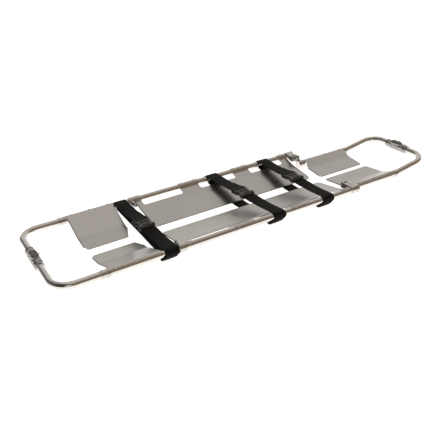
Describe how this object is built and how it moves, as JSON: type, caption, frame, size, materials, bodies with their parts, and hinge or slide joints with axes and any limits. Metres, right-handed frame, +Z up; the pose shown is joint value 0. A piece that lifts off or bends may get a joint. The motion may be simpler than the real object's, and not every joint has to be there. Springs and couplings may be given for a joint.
{
  "type": "folding scoop stretcher",
  "caption": "Two-half aluminium folding scoop stretcher with telescoping head section, fold-over leg section, end couplings and three buckled straps.",
  "frame": {"origin": "bottom centre of the stretcher's box, on the ground it lies on", "axes": "+X from the head end to the foot end, +Y towards the half that carries the coupling housings, +Z up"},
  "size_m": [1.6308, 0.4362, 0.0609],
  "materials": {
    "polished_tube": "polished round tube",
    "brushed_plate": "satin, brushed along the length",
    "dark_casting": "dark grey die casting",
    "bright_casting": "tumbled bright casting",
    "lever": "black satin paint",
    "steel_small_parts": "plain steel",
    "dark_pin": "blackened steel",
    "webbing": "woven black webbing",
    "buckle_plastic": "moulded black plastic"
  },
  "bodies": {
    "far_torso": {"far_torso_rail": "polished_tube", "far_torso_panel": "brushed_plate", "far_torso_rivets": "steel_small_parts", "far_lock_housing": "dark_casting", "far_lock_spring": "steel_small_parts", "far_hinge_clevis": "bright_casting", "far_hinge_pin": "steel_small_parts", "strap_1_far_webbing": "webbing", "strap_2_far_webbing": "webbing", "strap_3_far_webbing": "webbing"},
    "near_torso": {"near_torso_rail": "polished_tube", "near_torso_panel": "brushed_plate", "near_torso_rivets": "steel_small_parts", "near_lock_housing": "dark_casting", "near_lock_spring": "steel_small_parts", "near_hinge_clevis": "bright_casting", "near_hinge_pin": "steel_small_parts", "strap_1_near_webbing": "webbing", "strap_2_near_webbing": "webbing", "strap_3_near_webbing": "webbing", "strap_1_buckle_socket": "buckle_plastic", "strap_2_buckle_socket": "buckle_plastic", "strap_3_buckle_socket": "buckle_plastic"},
    "far_head": {"far_head_loop": "polished_tube", "far_head_collar": "dark_casting", "far_head_slide_tube": "polished_tube", "far_head_panel": "brushed_plate", "far_head_rivets": "steel_small_parts", "head_coupling_housing": "dark_casting", "head_lever_pin": "steel_small_parts", "head_lever_spring": "steel_small_parts"},
    "near_head": {"near_head_loop": "polished_tube", "near_head_collar": "dark_casting", "near_head_slide_tube": "polished_tube", "near_head_panel": "brushed_plate", "near_head_rivets": "steel_small_parts", "head_coupling_tongue": "dark_casting"},
    "far_leg": {"far_leg_knuckle": "bright_casting", "far_leg_rail": "polished_tube", "far_leg_panel": "brushed_plate", "far_leg_rivets": "steel_small_parts", "far_foot_ring": "bright_casting", "far_foot_loop": "polished_tube", "foot_coupling_housing": "dark_casting", "foot_lever_pin": "steel_small_parts", "foot_lever_spring": "steel_small_parts"},
    "near_leg": {"near_leg_knuckle": "bright_casting", "near_leg_rail": "polished_tube", "near_leg_panel": "brushed_plate", "near_leg_rivets": "steel_small_parts", "near_foot_ring": "bright_casting", "near_foot_loop": "polished_tube", "foot_coupling_tongue": "dark_casting"},
    "far_lock_pin": {"far_lock_pin": "dark_pin"},
    "near_lock_pin": {"near_lock_pin": "dark_pin"},
    "head_lever": {"head_release_lever": "lever"},
    "foot_lever": {"foot_release_lever": "lever"},
    "clip_1": {"strap_1_buckle_clip": "buckle_plastic"},
    "clip_2": {"strap_2_buckle_clip": "buckle_plastic"},
    "clip_3": {"strap_3_buckle_clip": "buckle_plastic"}
  },
  "joints": [
    {"name": "halves_split", "type": "slide", "parent": "far_torso", "child": "near_torso", "axis": [0, -1, 0], "range_m": [0, 0.3]},
    {"name": "far_head_slide", "type": "slide", "parent": "far_torso", "child": "far_head", "axis": [-1, 0, 0], "range_m": [0, 0.365]},
    {"name": "near_head_slide", "type": "slide", "parent": "near_torso", "child": "near_head", "axis": [-1, 0, 0], "range_m": [0, 0.365]},
    {"name": "far_leg_fold", "type": "hinge", "parent": "far_torso", "child": "far_leg", "pos_m": [0.36464, 0.15, 0.044], "axis": [0, -1, 0], "range_deg": [0, 174]},
    {"name": "near_leg_fold", "type": "hinge", "parent": "near_torso", "child": "near_leg", "pos_m": [0.36464, -0.15, 0.044], "axis": [0, -1, 0], "range_deg": [0, 174]},
    {"name": "far_lock_pull", "type": "slide", "parent": "far_torso", "child": "far_lock_pin", "axis": [0, -1, 0], "range_m": [0, 0.006], "stiffness_N_per_m": 500, "springref_m": -0.006, "deforming": ["far_lock_spring"]},
    {"name": "near_lock_pull", "type": "slide", "parent": "near_torso", "child": "near_lock_pin", "axis": [0, 1, 0], "range_m": [0, 0.006], "stiffness_N_per_m": 500, "springref_m": -0.006, "deforming": ["near_lock_spring"]},
    {"name": "head_lever_press", "type": "hinge", "parent": "far_head", "child": "head_lever", "pos_m": [-0.79536, 0.008, 0.0555], "axis": [-1, 0, 0], "range_deg": [0, 5], "stiffness_Nm_per_rad": 0.6, "springref_deg": -8.59, "deforming": ["head_lever_spring"]},
    {"name": "foot_lever_press", "type": "hinge", "parent": "far_leg", "child": "foot_lever", "pos_m": [0.79121, 0.008, 0.05531], "axis": [-0.9876, 0, -0.1568], "range_deg": [0, 5], "stiffness_Nm_per_rad": 0.6, "springref_deg": -8.59, "deforming": ["foot_lever_spring"]},
    {"name": "clip_1_slide", "type": "slide", "parent": "far_torso", "child": "clip_1", "axis": [-0.0123, 0.9999, 0], "range_m": [0, 0.036]},
    {"name": "clip_2_slide", "type": "slide", "parent": "far_torso", "child": "clip_2", "axis": [-0.0763, 0.9971, 0], "range_m": [0, 0.036]},
    {"name": "clip_3_slide", "type": "slide", "parent": "far_torso", "child": "clip_3", "axis": [-0.0099, 1, 0], "range_m": [0, 0.036]}
  ],
  "couplings": [
    {"joint": "near_head_slide", "follows": "far_head_slide", "ratio": 1},
    {"joint": "near_leg_fold", "follows": "far_leg_fold", "ratio": 1}
  ]
}
